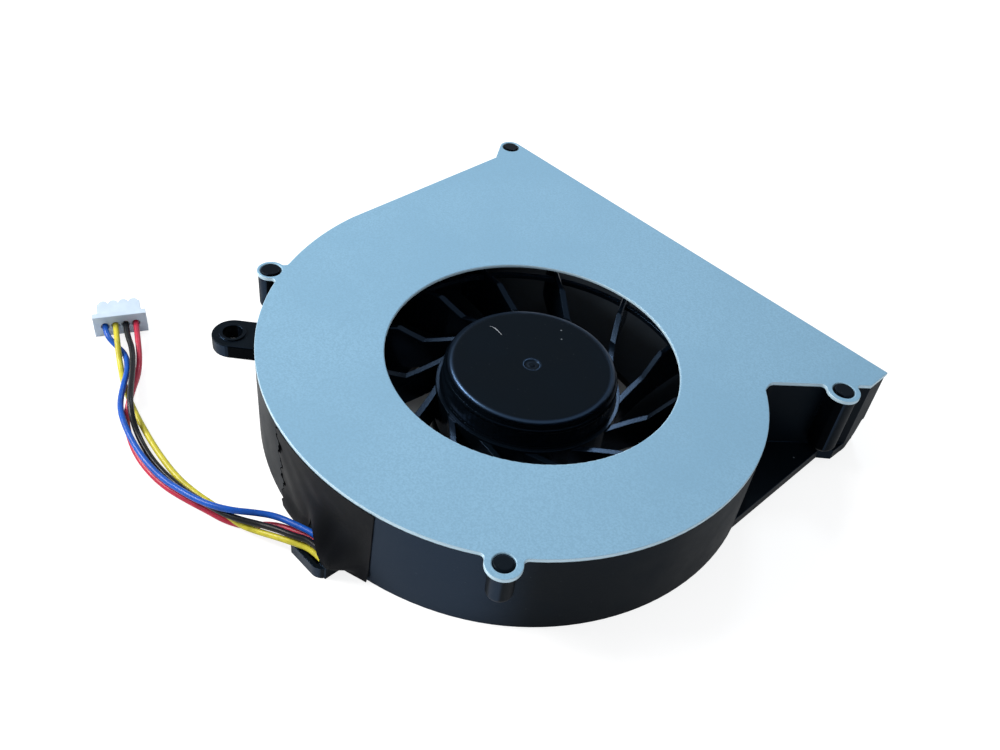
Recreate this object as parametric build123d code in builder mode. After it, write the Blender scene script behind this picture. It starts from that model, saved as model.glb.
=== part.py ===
from build123d import *
from math import atan2, cos, degrees, hypot, pi, radians, sin, tan
import os

# Laptop cooling fan: a flat centrifugal blower with four wires and a plug.
# Millimetres. The origin is on the rotor's axis at the underside of the base,
# +Z runs up through the metal cover and +Y is the way the air leaves.

# Housing
height = 11.5
cover_thickness = 0.45
cover_edge = 0.12
wall = 1.0
floor = 1.0
inlet_radius = 17.5

# Scroll: the outer face starts at the tongue and moves out as it turns
# clockwise, by the share of the growth that each pair gives at its angle.
tongue_radius = 27.6
tongue_angle = 40
scroll_growth = 7.1
scroll_shape = (
    (0, 0.0), (30, 0.14), (60, 0.24), (90, 0.345), (120, 0.40),
    (150, 0.52), (175, 0.69), (198, 0.84), (220, 1.0),
)

# Outlet duct
outlet_y = 32.8
outlet_left = 35.3
outlet_right = 28.9
outlet_setback = 0.6
tongue_corner_angle = 42.93
tongue_corner_rise = 0.81
duct_slope = 50
tongue_round = 1.2

# Fixing tabs of the cover: radii of the lobe, its hole and the post
right_tab_radii = (2.0, 1.3, 1.8)
front_tab_radii = (1.95, 1.15, 1.45)
left_tab_radii = (1.7, 1.3, 1.6)
back_tab_radii = (1.6, 1.2, 1.5)

# Their places: the right one along the duct's slope and out from it, the front and left ones
# by angle, share of the scroll's growth there and distance beyond the wall's face, and the
# back one out from the side wall and in from the outlet
right_tab_place = (8.75, 1.01)
front_tab_place = (-50.27, 0.345, 0.768)
left_tab_place = (-153.73, 0.812, 1.428)
back_tab_place = (0.85, 1.6)
tab_hole_bevel = 0.12
stake_clearance = 0.04
stake_proud = 0.12
tab_blend = 0.6
right_post_length = 8.6
front_post_length = 4.3
left_post_length = 4.9
back_post_length = 5.0
back_taper_y = 27.3
stake_round = 0.25
post_end_round = 0.6

# Bottom inlet and motor seat
seat_radius = 11.3
bottom_inlet_radius = 16.2
spoke_overrun = 1.0
spoke_width = 3.2
spoke_angles = (57, 177, 297)

# Web beside the outlet and the mounting ear
web_height = 1.45
web_side = 27.5
web_corner = (28.8, 26.7)
web_bulge = (28.9, 29.7)
web_end = 28.3
corner_step = 0.35
corner_cut = ((30.0, 0.0), (31.2, 2.0), (31.7, 4.0))
ear_thickness = 1.9
ear_hole = (-33.65, -20.1)
ear_radius = 2.7
ear_hole_radius = 1.3
ear_rim = 0.4
ear_rim_height = 0.2
ear_edge = 0.15
ear_direction = 43
ear_lead = 8.0

# Wire trough at the foot of the wall, and the block in it: its slope is given by the
# distance in from the trough's edge and the height
trough_left = -1.3
trough_right = 3.8
trough_reach = 33.7
trough_round = 1.4
trough_floor = 0.6
trough_height = 1.6
trough_lip = 0.55
dam_length = 1.1
dam_slope = ((5.7, 4.1), (2.0, 3.7), (0.85, 2.5), (0.7, 0.0))

# Rotor
hub_radius = 10.55
hub_top = 9.9
hub_rim = 0.5
hub_step = 0.35
hub_step_top = 9.0
hub_step_round = 0.25
hub_skin = 0.8
flange_radius = 11.2
flange_top = 6.56
rotor_bottom = 1.9
dimple_radius = 1.2
dimple_depth = 0.25
boss_radius = 2.0
boss_bottom = 7.3

# Blades: the top edge is low beside the hub, climbs and then runs level
blade_count = 13
blade_thickness = 0.7
blade_start = (10.8, 8.5)
blade_middle = (17.65, 38.0)
blade_tip_angle = 45.5
impeller_radius = 24.6
blade_bevel = 0.15
blade_low_top = 6.2
blade_high_top = 8.46
ramp_start_radius = 14.8
ramp_end_radius = 17.65
ring_radius = 20.2
ring_section = 0.6
ring_drop = 0.36

# Motor
fit = 0.02
running_fit = 0.03
air_gap = 0.3
cup_radius = 9.7
cup_thickness = 0.5
cup_bottom = 2.2
magnet_thickness = 1.0
magnet_height = 4.6
magnet_bevel = 0.1
shaft_radius = 1.0
shaft_end = 0.95
shaft_grip = 2.1
shaft_dome = 0.15
groove_depth = 0.3
groove_height = 0.35
groove_above_end = 0.2
retainer_height = 0.25
retainer_slit = 0.3
holder_radius = 2.9
holder_wall = 0.6
holder_base = 0.5
holder_recess = 0.0
holder_flange = 0.7
holder_flange_height = 0.7
holder_top = 7.0
pad_height = 0.4
sleeve_bottom = 1.5
sleeve_top = 6.6
sleeve_bevel = 0.2
washer_height = 0.25
washer_clearance = 0.09
pole_count = 6
core_ring = 1.4
pole_width = 1.6
shoe_depth = 0.7
shoe_share = 0.8
core_bottom = 3.7
core_height = 2.6
insulator_height = 0.5
insulator_edge = 0.25
coil_depth = 0.65
coil_start = 0.35
board_radius = 8.8
board_thickness = 0.6
chip_length = 3.0
chip_width = 2.4
chip_height = 0.7
chip_bevel = 0.12
chip_radius = 6.0
chip_angle = 120
capacitor_length = 1.0
capacitor_width = 0.5
capacitor_radius = 6.6
capacitor_angles = (30, 75)

# Tape over the wire exit
tape_thickness = 0.15
tape_start = 251
tape_end = 284
tape_bottom = 0.3
tape_gap = 0.02

# Hood of the tape over the wires: height and share of the reach down its section, then the
# sections' places with their share of the way from the wall to the trough's edge
hood_shape = (
    (7.6, 0.0), (6.4, 0.06), (5.3, 0.24), (4.5, 0.48),
    (3.7, 0.76), (2.9, 0.94), (2.2, 0.99), (1.65, 1.0),
)
hood_sections = ((-0.7, 1.0), (3.2, 1.0), (3.95, 0.97), (4.8, 0.625), (7.0, 0.0625))
hood_wall_share = 0.44
hood_wall_depth = 0.524
hood_inset = 0.3
hood_slant = ((-1.7, 0.0), (-1.7, 4.05), (-1.2, 4.05), (2.5, 1.65), (2.5, 0.0))

# Plug
plug_front = (-43.8, -30.27)
plug_turn = 65.1
plug_flange_width = 6.5
plug_flange_height = 3.0
plug_flange_depth = 0.9
plug_body_width = 5.3
plug_body_bottom = 0.25
plug_body_height = 2.45
plug_depth = 3.2
contact_pitch = 1.25
contact_count = 4
contact_height = 1.5
wire_entry_radius = 0.52
wire_entry_depth = 2.6
wire_inset = 0.35
scallop_radius = 0.55
terminal_radius = 0.44
terminal_length = 1.9

# Wires: diameter, and the share of the shorter run that each bend takes up
wire_diameter = 0.72
bend_share = 0.45

tolerance = 0.001
cover_bottom = height - cover_thickness
base_end = outlet_y - outlet_setback
post_lengths = (right_post_length, front_post_length, left_post_length, back_post_length)
dam_face = trough_right - dam_length
shaft_top = boss_bottom + shaft_grip
dimple_sphere = (dimple_radius ** 2 + dimple_depth ** 2) / (2 * dimple_depth)


def polar(radius, angle):
    """A point of the plan by its radius and its angle in degrees."""
    return (radius * cos(radians(angle)), radius * sin(radians(angle)))


def scroll_radius(turn_share):
    """Radius of the outer face where the given share of the growth is reached."""
    return tongue_radius + scroll_growth * turn_share


tongue_corner = polar(tongue_radius + tongue_corner_rise, tongue_corner_angle)
duct_direction = polar(1, duct_slope)
duct_normal = polar(1, duct_slope + 90)


def slope_point(along, out):
    """A point by its distance along the duct's slope from the tongue and out from it."""
    return (
        tongue_corner[0] + along * duct_direction[0] - out * duct_normal[0],
        tongue_corner[1] + along * duct_direction[1] - out * duct_normal[1],
    )


def scroll_point(angle, turn_share, beyond):
    """A point beyond the scroll's outer face, where it has the given share of the growth."""
    return polar(scroll_radius(turn_share) + beyond, angle)


right_tab = (*slope_point(*right_tab_place), *right_tab_radii)
front_tab = (*scroll_point(*front_tab_place), *front_tab_radii)
left_tab = (*scroll_point(*left_tab_place), *left_tab_radii)
back_tab = (-outlet_left - back_tab_place[0], outlet_y - back_tab_place[1], *back_tab_radii)
tabs = (right_tab, front_tab, left_tab, back_tab)


def housing_outline(inset=0.0, end_y=outlet_y):
    """Plan of the housing without its tabs, moved inward, as far as the given Y."""
    scroll = [
        polar(scroll_radius(share) - inset, tongue_angle - turn) for turn, share in scroll_shape
    ]
    left = -outlet_left + inset
    right = outlet_right - inset
    nose = slope_point(0, -inset)
    duct_end = (right, nose[1] + (right - nose[0]) * duct_direction[1] / duct_direction[0])
    with BuildLine() as outline:
        Spline(scroll)
        Polyline(scroll[-1], (left, end_y), (right, end_y), duct_end, nose, scroll[0])
    make_face(outline.edges())


def lobe_corners(part, x, y, radius):
    """Upright edges where a lobe of this centre and radius leaves the outline."""
    return [
        edge for edge in part.edges().filter_by(Axis.Z)
        if abs(hypot(edge.center().X - x, edge.center().Y - y) - radius) < tolerance
    ]


def nose_edge(part):
    """The upright edge at the tongue, nearest the corner of the duct."""
    return part.edges().filter_by(Axis.Z).sort_by_distance((*tongue_corner, height))[0]


def tab_lobes():
    """The round lobes of the four tabs, the back one drawn out to the side wall."""
    for x, y, lobe, hole, post in tabs:
        with Locations(Location((x, y, 0), (0, 0, degrees(atan2(y, x))))):
            Circle(lobe)
    with BuildLine() as taper:
        CenterArc(back_tab[:2], back_tab[2], 0, 360)
        Line((-outlet_left, back_taper_y), (-outlet_left, outlet_y))
    make_hull(taper.edges())


# Cover: a flat pressing with the inlet and four holed tabs
with BuildPart() as top_cover:
    with BuildSketch(Plane.XY.offset(cover_bottom)):
        housing_outline()
        tab_lobes()
    extrude(amount=cover_thickness)
    fillet(nose_edge(top_cover), tongue_round)
    for x, y, lobe, hole, post in (right_tab, front_tab, left_tab):
        fillet(lobe_corners(top_cover, x, y, lobe), tab_blend)
    with BuildSketch(Plane.XY.offset(cover_bottom)):
        Circle(inlet_radius)
        for x, y, lobe, hole, post in tabs:
            with Locations((x, y)):
                Circle(hole)
    extrude(amount=cover_thickness, mode=Mode.SUBTRACT)
    fillet(top_cover.edges().filter_by(GeomType.CIRCLE).group_by(SortBy.RADIUS)[-1], cover_edge)
    for x, y, lobe, hole, post in tabs:
        rims = top_cover.edges().group_by(Axis.Z)[-1].filter_by(GeomType.CIRCLE)
        chamfer(rims.sort_by_distance((x, y, height))[0], tab_hole_bevel)
top_cover.part.label = "top_cover"

# Base: floor with the bottom inlet, scroll wall, posts, web, ear and trough
wall_top = cover_bottom
with BuildPart() as housing_base:
    # Trough at the foot of the wall, open to the left, and the block in it
    with BuildSketch():
        with BuildLine():
            Polyline(
                (trough_left, 0), (trough_left, -trough_reach),
                (trough_right - trough_round, -trough_reach),
            )
            JernArc((trough_right - trough_round, -trough_reach), (1, 0), trough_round, 90)
            Polyline((trough_right, -trough_reach + trough_round), (trough_right, 0), (trough_left, 0))
        make_face()
    extrude(amount=trough_height)
    with BuildSketch(Plane.XY.offset(trough_floor)):
        with BuildLine():
            Polyline(
                (trough_left, 0), (trough_left, -trough_reach + trough_lip),
                (dam_face, -trough_reach + trough_lip), (dam_face, 0), close=True,
            )
        make_face()
    extrude(amount=trough_height, mode=Mode.SUBTRACT)
    with BuildSketch(Plane.YZ.offset(dam_face)):
        with BuildLine():
            Polyline(
                (0, 0), (0, dam_slope[0][1]),
                *[(inset - trough_reach, z) for inset, z in dam_slope], close=True,
            )
        make_face()
    extrude(amount=dam_length)

    # Scroll wall, solid at first
    with BuildSketch():
        housing_outline(0.0, base_end)
    extrude(amount=wall_top)
    fillet(nose_edge(housing_base), tongue_round)

    # Posts under the cover's tabs
    for (x, y, lobe, hole, post_radius), length in zip(tabs, post_lengths):
        post_foot = wall_top - length
        with BuildSketch(Plane((x, y, 0), x_dir=(1, 0, 0), z_dir=(0, -1, 0))):
            with BuildLine():
                Line((0, post_foot), (post_radius - post_end_round, post_foot))
                JernArc((post_radius - post_end_round, post_foot), (1, 0), post_end_round, 90)
                Polyline(
                    (post_radius, post_foot + post_end_round), (post_radius, wall_top),
                    (0, wall_top), (0, post_foot),
                )
            make_face()
        revolve(axis=Axis((x, y, 0), (0, 0, 1)))

    # Web that fills the corner between the scroll and the outlet
    with BuildSketch():
        with BuildLine():
            Polyline(
                (0, 0), (web_side, 0), (web_side, right_tab[1]), web_corner, web_bulge,
                (web_end, base_end), (0, base_end), close=True,
            )
        make_face()
    extrude(amount=web_height)

    # Step and cut corner at the foot of the outlet's right end
    with BuildSketch(Plane.YZ.offset(outlet_right - corner_step)):
        with BuildLine():
            Polyline(*corner_cut, (outlet_y, corner_cut[-1][1]), (outlet_y, 0), close=True)
        make_face()
    extrude(amount=corner_step, mode=Mode.SUBTRACT)

    # Mounting ear with a rim round its hole
    ear_step = polar(ear_lead, ear_direction)
    ear_inner = (ear_hole[0] + ear_step[0], ear_hole[1] + ear_step[1])
    with BuildSketch():
        with BuildLine() as ear_outline:
            CenterArc(ear_hole, ear_radius, 0, 360)
            CenterArc(ear_inner, ear_radius, 0, 360)
        make_hull(ear_outline.edges())
    extrude(amount=ear_thickness)
    ear_rims = housing_base.edges().filter_by_position(Axis.Z, ear_thickness, ear_thickness)
    fillet(ear_rims.sort_by_distance((2 * ear_hole[0], 2 * ear_hole[1], 0))[0], ear_edge)
    with BuildSketch(Plane.XY.offset(ear_thickness)):
        with Locations(ear_hole):
            Circle(ear_hole_radius + ear_rim)
    extrude(amount=ear_rim_height)
    with BuildSketch():
        with Locations(ear_hole):
            Circle(ear_hole_radius)
    extrude(amount=ear_thickness + ear_rim_height, mode=Mode.SUBTRACT)

    # Air space, open at the outlet
    with BuildSketch(Plane.XY.offset(floor)):
        housing_outline(wall, outlet_y + wall)
    extrude(amount=wall_top, mode=Mode.SUBTRACT)

    # Bottom inlet between the motor seat and the floor, crossed by three spokes
    with BuildSketch():
        Circle(bottom_inlet_radius)
        Circle(seat_radius, mode=Mode.SUBTRACT)
        for angle in spoke_angles:
            with Locations(Location((0, 0, 0), (0, 0, angle))):
                Rectangle(
                    bottom_inlet_radius + spoke_overrun, spoke_width,
                    align=(Align.MIN, Align.CENTER), mode=Mode.SUBTRACT,
                )
    extrude(amount=floor, mode=Mode.SUBTRACT)

    # Bore and recess for the bearing holder
    with BuildSketch():
        Circle(holder_radius + fit)
    extrude(amount=floor, mode=Mode.SUBTRACT)
    with BuildSketch():
        Circle(holder_radius + holder_flange + fit)
    extrude(amount=holder_recess + holder_flange_height, mode=Mode.SUBTRACT)

    # Pins through the cover, their ends rounded over
    for x, y, lobe, hole, post in tabs:
        with BuildSketch(Plane.XY.offset(wall_top)):
            with Locations((x, y)):
                Circle(hole - stake_clearance)
        extrude(amount=cover_thickness + stake_proud)
    fillet(housing_base.edges().group_by(Axis.Z)[-1], stake_round)
housing_base.part.label = "housing_base"

# Impeller: hub, thirteen stepped blades and the ring that ties them
with BuildPart() as impeller:
    # One blade, curved back from the hub, its top cut to the stepped profile
    with BuildSketch(Plane.XY.offset(rotor_bottom)):
        with BuildLine():
            ThreePointArc(
                polar(*blade_start), polar(*blade_middle),
                polar(impeller_radius + blade_thickness, blade_tip_angle),
            )
        trace(line_width=blade_thickness)
    extrude(amount=blade_high_top - rotor_bottom)
    with BuildSketch(Plane.XZ):
        with BuildLine():
            Polyline(
                (0, rotor_bottom), (impeller_radius, rotor_bottom), (impeller_radius, blade_high_top),
                (ramp_end_radius, blade_high_top), (ramp_start_radius, blade_low_top),
                (0, blade_low_top), close=True,
            )
        make_face()
    revolve(axis=Axis.Z, mode=Mode.INTERSECT)
    level_top = impeller.faces().filter_by(Axis.Z).group_by(Axis.Z)[-1]
    chamfer(level_top.edges().filter_by(lambda edge: edge.length > 2 * blade_thickness), blade_bevel)
    blade = impeller.part
    for index in range(1, blade_count):
        with Locations(Location((0, 0, 0), (0, 0, 360 / blade_count * index))):
            add(blade)

    # Ring below the level tops of the blades
    with BuildSketch(Plane.XY.offset(blade_high_top - ring_drop - ring_section)):
        Circle(ring_radius + ring_section / 2)
        Circle(ring_radius - ring_section / 2, mode=Mode.SUBTRACT)
    extrude(amount=ring_section)

    # Hub: skirt, step, rounded rim and the boss that grips the shaft
    with BuildSketch(Plane.XZ):
        with BuildLine():
            Polyline(
                (0, rotor_bottom), (flange_radius, rotor_bottom), (flange_radius, flange_top),
                (hub_radius, flange_top), (hub_radius, hub_step_top),
                (hub_radius - hub_step, hub_step_top), (hub_radius - hub_step, hub_top),
                (0, hub_top), close=True,
            )
        make_face()
    revolve(axis=Axis.Z)
    fillet(impeller.faces().sort_by(Axis.Z)[-1].edges(), hub_rim)
    fillet(impeller.edges().filter_by_position(Axis.Z, hub_step_top, hub_step_top)[-1], hub_step_round)
    with BuildSketch(Plane.XY.offset(rotor_bottom)):
        Circle(cup_radius + fit)
    extrude(amount=hub_top - hub_skin - rotor_bottom, mode=Mode.SUBTRACT)
    with BuildSketch(Plane.XY.offset(boss_bottom)):
        Circle(boss_radius)
    extrude(amount=hub_top - hub_skin - boss_bottom)
    with BuildSketch(Plane.XY.offset(boss_bottom)):
        Circle(shaft_radius + fit / 2)
    extrude(amount=shaft_top - boss_bottom, mode=Mode.SUBTRACT)
    with Locations((0, 0, hub_top + dimple_sphere - dimple_depth)):
        Sphere(dimple_sphere, mode=Mode.SUBTRACT)
impeller.part.label = "impeller"

# Rotor cup: the steel shell pressed into the hub, with a hole round the boss
cup_top = hub_top - hub_skin
with BuildPart() as rotor_cup:
    with BuildSketch(Plane.XY.offset(cup_bottom)):
        Circle(cup_radius)
    extrude(amount=cup_top - cup_bottom)
    with BuildSketch(Plane.XY.offset(cup_bottom)):
        Circle(cup_radius - cup_thickness)
    extrude(amount=cup_top - cup_thickness - cup_bottom, mode=Mode.SUBTRACT)
    with BuildSketch(Plane.XY.offset(cup_bottom)):
        Circle(boss_radius + fit)
    extrude(amount=cup_top - cup_bottom, mode=Mode.SUBTRACT)
rotor_cup.part.label = "rotor_cup"

# Ring magnet inside the cup, flush with its lower edge
magnet_radius = cup_radius - cup_thickness - fit
with BuildPart() as ring_magnet:
    with BuildSketch(Plane.XY.offset(cup_bottom)):
        Circle(magnet_radius)
        Circle(magnet_radius - magnet_thickness, mode=Mode.SUBTRACT)
    extrude(amount=magnet_height)
    chamfer(ring_magnet.edges().filter_by(GeomType.CIRCLE), magnet_bevel)
ring_magnet.part.label = "ring_magnet"

# Shaft: domed foot, groove for the retaining ring
groove_bottom = shaft_end + groove_above_end
with BuildPart() as rotor_shaft:
    with BuildSketch(Plane.XZ):
        with BuildLine():
            ThreePointArc(
                (0, shaft_end), (shaft_radius / 2, shaft_end + shaft_dome / 4),
                (shaft_radius, shaft_end + shaft_dome),
            )
            Polyline(
                (shaft_radius, shaft_end + shaft_dome), (shaft_radius, groove_bottom),
                (shaft_radius - groove_depth, groove_bottom),
                (shaft_radius - groove_depth, groove_bottom + groove_height),
                (shaft_radius, groove_bottom + groove_height), (shaft_radius, shaft_top),
                (0, shaft_top), (0, shaft_end),
            )
        make_face()
    revolve(axis=Axis.Z)
rotor_shaft.part.label = "rotor_shaft"

# Bearing holder: a closed tube with a foot flange let into the motor seat
holder_bore = holder_radius - holder_wall
with BuildPart() as bearing_holder:
    with BuildSketch(Plane.XZ):
        with BuildLine():
            Polyline(
                (0, holder_recess), (holder_radius + holder_flange, holder_recess),
                (holder_radius + holder_flange, holder_recess + holder_flange_height),
                (holder_radius, holder_recess + holder_flange_height), (holder_radius, holder_top),
                (holder_bore, holder_top), (holder_bore, holder_recess + holder_base),
                (0, holder_recess + holder_base), close=True,
            )
        make_face()
    revolve(axis=Axis.Z)
bearing_holder.part.label = "bearing_holder"

# Thrust pad that the shaft's foot turns on
pad_bottom = holder_recess + holder_base
with BuildPart() as thrust_pad:
    with BuildSketch(Plane.XY.offset(pad_bottom)):
        Circle(holder_bore - fit)
    extrude(amount=pad_height)
thrust_pad.part.label = "thrust_pad"

# Retaining ring in the shaft's groove, held below the sleeve
ring_bottom = groove_bottom + (groove_height - retainer_height) / 2
with BuildPart() as retaining_ring:
    with BuildSketch(Plane.XY.offset(ring_bottom)):
        Circle(holder_bore - fit)
        Circle(shaft_radius - groove_depth + running_fit, mode=Mode.SUBTRACT)
        Rectangle(holder_bore, retainer_slit, align=(Align.MIN, Align.CENTER), mode=Mode.SUBTRACT)
    extrude(amount=retainer_height)
retaining_ring.part.label = "retaining_ring"

# Sintered sleeve that the shaft runs in, and the washer over it
with BuildPart() as bearing_sleeve:
    with BuildSketch(Plane.XY.offset(sleeve_bottom)):
        Circle(holder_bore - fit)
        Circle(shaft_radius + running_fit, mode=Mode.SUBTRACT)
    extrude(amount=sleeve_top - sleeve_bottom)
    chamfer(bearing_sleeve.edges().filter_by(GeomType.CIRCLE).group_by(SortBy.RADIUS)[-1], sleeve_bevel)
bearing_sleeve.part.label = "bearing_sleeve"

with BuildPart() as oil_washer:
    with BuildSketch(Plane.XY.offset(sleeve_top)):
        Circle(holder_bore - fit)
        Circle(shaft_radius + washer_clearance, mode=Mode.SUBTRACT)
    extrude(amount=washer_height)
oil_washer.part.label = "oil_washer"


def pole_plan(core_grow=0.0, shoe_grow=0.0):
    """Star of poles round the bearing holder: ring, necks and curved shoes."""
    shoe_arc = 360 / pole_count * shoe_share
    Circle(holder_radius + fit + core_ring)
    for angle in pole_angles:
        with Locations(Location((0, 0, 0), (0, 0, angle))):
            Rectangle(
                core_radius - shoe_depth / 2, pole_width + 2 * core_grow,
                align=(Align.MIN, Align.CENTER),
            )
        with BuildLine() as shoe:
            CenterArc((0, 0), core_radius - shoe_depth / 2, angle - shoe_arc / 2, shoe_arc)
        trace(shoe.edges(), line_width=shoe_depth + 2 * shoe_grow)
    Circle(holder_radius + fit, mode=Mode.SUBTRACT)


# Stator: laminated core between two moulded insulators, one coil on each pole
core_radius = magnet_radius - magnet_thickness - air_gap
pole_angles = [360 / pole_count * index for index in range(pole_count)]
with BuildPart() as stator_core:
    with BuildSketch(Plane.XY.offset(core_bottom)):
        pole_plan()
    extrude(amount=core_height)
stator_core.part.label = "stator_core"

core_top = core_bottom + core_height
with BuildPart() as upper_insulator:
    with BuildSketch(Plane.XY.offset(core_top)):
        pole_plan(insulator_edge)
    extrude(amount=insulator_height)
upper_insulator.part.label = "upper_insulator"

board_top = floor + board_thickness
with BuildPart() as lower_insulator:
    with BuildSketch(Plane.XY.offset(core_bottom)):
        pole_plan(insulator_edge)
    extrude(amount=-insulator_height)
    with BuildSketch(Plane.XY.offset(board_top)):
        Circle(holder_radius + fit + core_ring)
        Circle(holder_radius + fit, mode=Mode.SUBTRACT)
    extrude(amount=core_bottom - insulator_height - board_top)
lower_insulator.part.label = "lower_insulator"

coil_inner = holder_radius + fit + core_ring + coil_start
coil_outer = core_radius - shoe_depth - coil_start
coil_bottom = core_bottom - insulator_height
coil_top = core_top + insulator_height
with BuildPart() as stator_windings:
    for angle in pole_angles:
        with Locations(Location((0, 0, coil_bottom - coil_depth), (0, 0, angle))):
            with Locations((coil_inner, 0, 0)):
                Box(
                    coil_outer - coil_inner, pole_width + 2 * (insulator_edge + coil_depth),
                    coil_top - coil_bottom + 2 * coil_depth, align=(Align.MIN, Align.CENTER, Align.MIN),
                )
    fillet(
        stator_windings.edges().filter_by(lambda edge: abs((edge % 0.5).Z) < tolerance)
        .filter_by(lambda edge: abs(edge.length - (coil_outer - coil_inner)) < tolerance), coil_depth,
    )
    for angle in pole_angles:
        with Locations(Location((0, 0, coil_bottom - fit), (0, 0, angle))):
            Box(
                core_radius, pole_width + 2 * (insulator_edge + fit), coil_top - coil_bottom + 2 * fit,
                align=(Align.MIN, Align.CENTER, Align.MIN), mode=Mode.SUBTRACT,
            )
stator_windings.part.label = "stator_windings"

# Circuit board on the motor seat, with its driver chip and two capacitors
with BuildPart() as circuit_board:
    with BuildSketch(Plane.XY.offset(floor)):
        Circle(board_radius)
        Circle(holder_radius + holder_flange + fit, mode=Mode.SUBTRACT)
    extrude(amount=board_thickness)
circuit_board.part.label = "circuit_board"

with BuildPart() as driver_chip:
    with Locations(Location((*polar(chip_radius, chip_angle), board_top), (0, 0, chip_angle + 90))):
        Box(chip_length, chip_width, chip_height, align=(Align.CENTER, Align.CENTER, Align.MIN))
    chamfer(driver_chip.edges().group_by(Axis.Z)[-1], chip_bevel)
driver_chip.part.label = "driver_chip"

with BuildPart() as board_capacitors:
    for angle in capacitor_angles:
        with Locations(Location((*polar(capacitor_radius, angle), board_top), (0, 0, angle))):
            Box(
                capacitor_length, capacitor_width, capacitor_width,
                align=(Align.CENTER, Align.CENTER, Align.MIN),
            )
board_capacitors.part.label = "board_capacitors"

# Plug: flange, body with a scalloped end and the four wire holes
plug_plane = Plane((*plug_front, 0), x_dir=(*polar(1, plug_turn), 0), z_dir=(0, 0, 1))
contact_places = [
    (contact_pitch * (index - (contact_count - 1) / 2), 0) for index in range(contact_count)
]
with BuildPart() as plug_housing:
    with BuildSketch(plug_plane):
        Rectangle(plug_flange_width, plug_flange_depth, align=(Align.CENTER, Align.MIN))
    extrude(amount=plug_flange_height)
    with BuildSketch(plug_plane.offset(plug_body_bottom)):
        Rectangle(plug_body_width, plug_depth, align=(Align.CENTER, Align.MIN))
        with Locations([(x, plug_depth) for x, y in contact_places]):
            Circle(scallop_radius)
    extrude(amount=plug_body_height)
    with BuildSketch(Plane(plug_plane.origin, x_dir=plug_plane.x_dir, z_dir=-plug_plane.y_dir)):
        with Locations([(x, contact_height) for x, y in contact_places]):
            Circle(wire_entry_radius)
    extrude(amount=-wire_entry_depth, mode=Mode.SUBTRACT)
plug_housing.part.label = "plug_housing"

# Crimped ends that hold the wires in the plug
terminal_plane = Plane(plug_plane.origin, x_dir=plug_plane.x_dir, z_dir=-plug_plane.y_dir)
with BuildPart() as plug_terminals:
    with BuildSketch(terminal_plane.offset(-wire_inset)):
        with Locations([(x, contact_height) for x, y in contact_places]):
            Circle(terminal_radius)
    extrude(amount=-terminal_length)
plug_terminals.part.label = "plug_terminals"

# Tape over the wire exit: a band on the wall and a hood drawn out over the wires
tape_outer = tape_gap + tape_thickness
hood_wall = scroll_radius(hood_wall_share) - hood_wall_depth
hood_reach = trough_reach - hood_inset
with BuildPart() as wire_tape:
    with BuildSketch(Plane.XY.offset(tape_bottom)):
        housing_outline(-tape_outer)
        with BuildLine() as sector:
            Polyline(
                (0, 0), polar(2 * tongue_radius, tape_start),
                polar(2 * tongue_radius, tape_end), (0, 0),
            )
        make_face(sector.edges(), mode=Mode.INTERSECT)
    extrude(amount=wall_top - tape_gap - tape_bottom)
    with Locations((trough_left - tape_gap, 0, 0)):
        Box(
            dam_face - trough_left, trough_reach, trough_height + tape_gap,
            align=(Align.MIN, Align.MAX, Align.MIN), mode=Mode.SUBTRACT,
        )
    with Locations((dam_face - tape_gap, 0, 0)):
        Box(
            dam_length + 2 * tape_gap, trough_reach, dam_slope[0][1] + tape_gap,
            align=(Align.MIN, Align.MAX, Align.MIN), mode=Mode.SUBTRACT,
        )
    for x, reach_share in hood_sections:
        depth = (hood_reach - hood_wall) * reach_share
        outer = [(-hood_wall - depth * share, z) for z, share in hood_shape]
        inner = [(y + tape_thickness, z - tape_thickness / 2) for y, z in outer[:-1]]
        inner.append((outer[-1][0] + tape_thickness, outer[-1][1]))
        with BuildSketch(Plane.YZ.offset(x)):
            with BuildLine():
                Spline(outer)
                Spline(inner)
                Line(outer[0], inner[0])
                Line(outer[-1], inner[-1])
            make_face()
    loft(ruled=True)
    with BuildSketch(Plane.XZ):
        with BuildLine():
            Polyline(*hood_slant, close=True)
        make_face()
    extrude(amount=2 * tongue_radius, mode=Mode.SUBTRACT)
    with BuildSketch():
        housing_outline(-tape_gap)
    extrude(amount=wall_top, mode=Mode.SUBTRACT)
wire_tape.part.label = "wire_tape"

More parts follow.
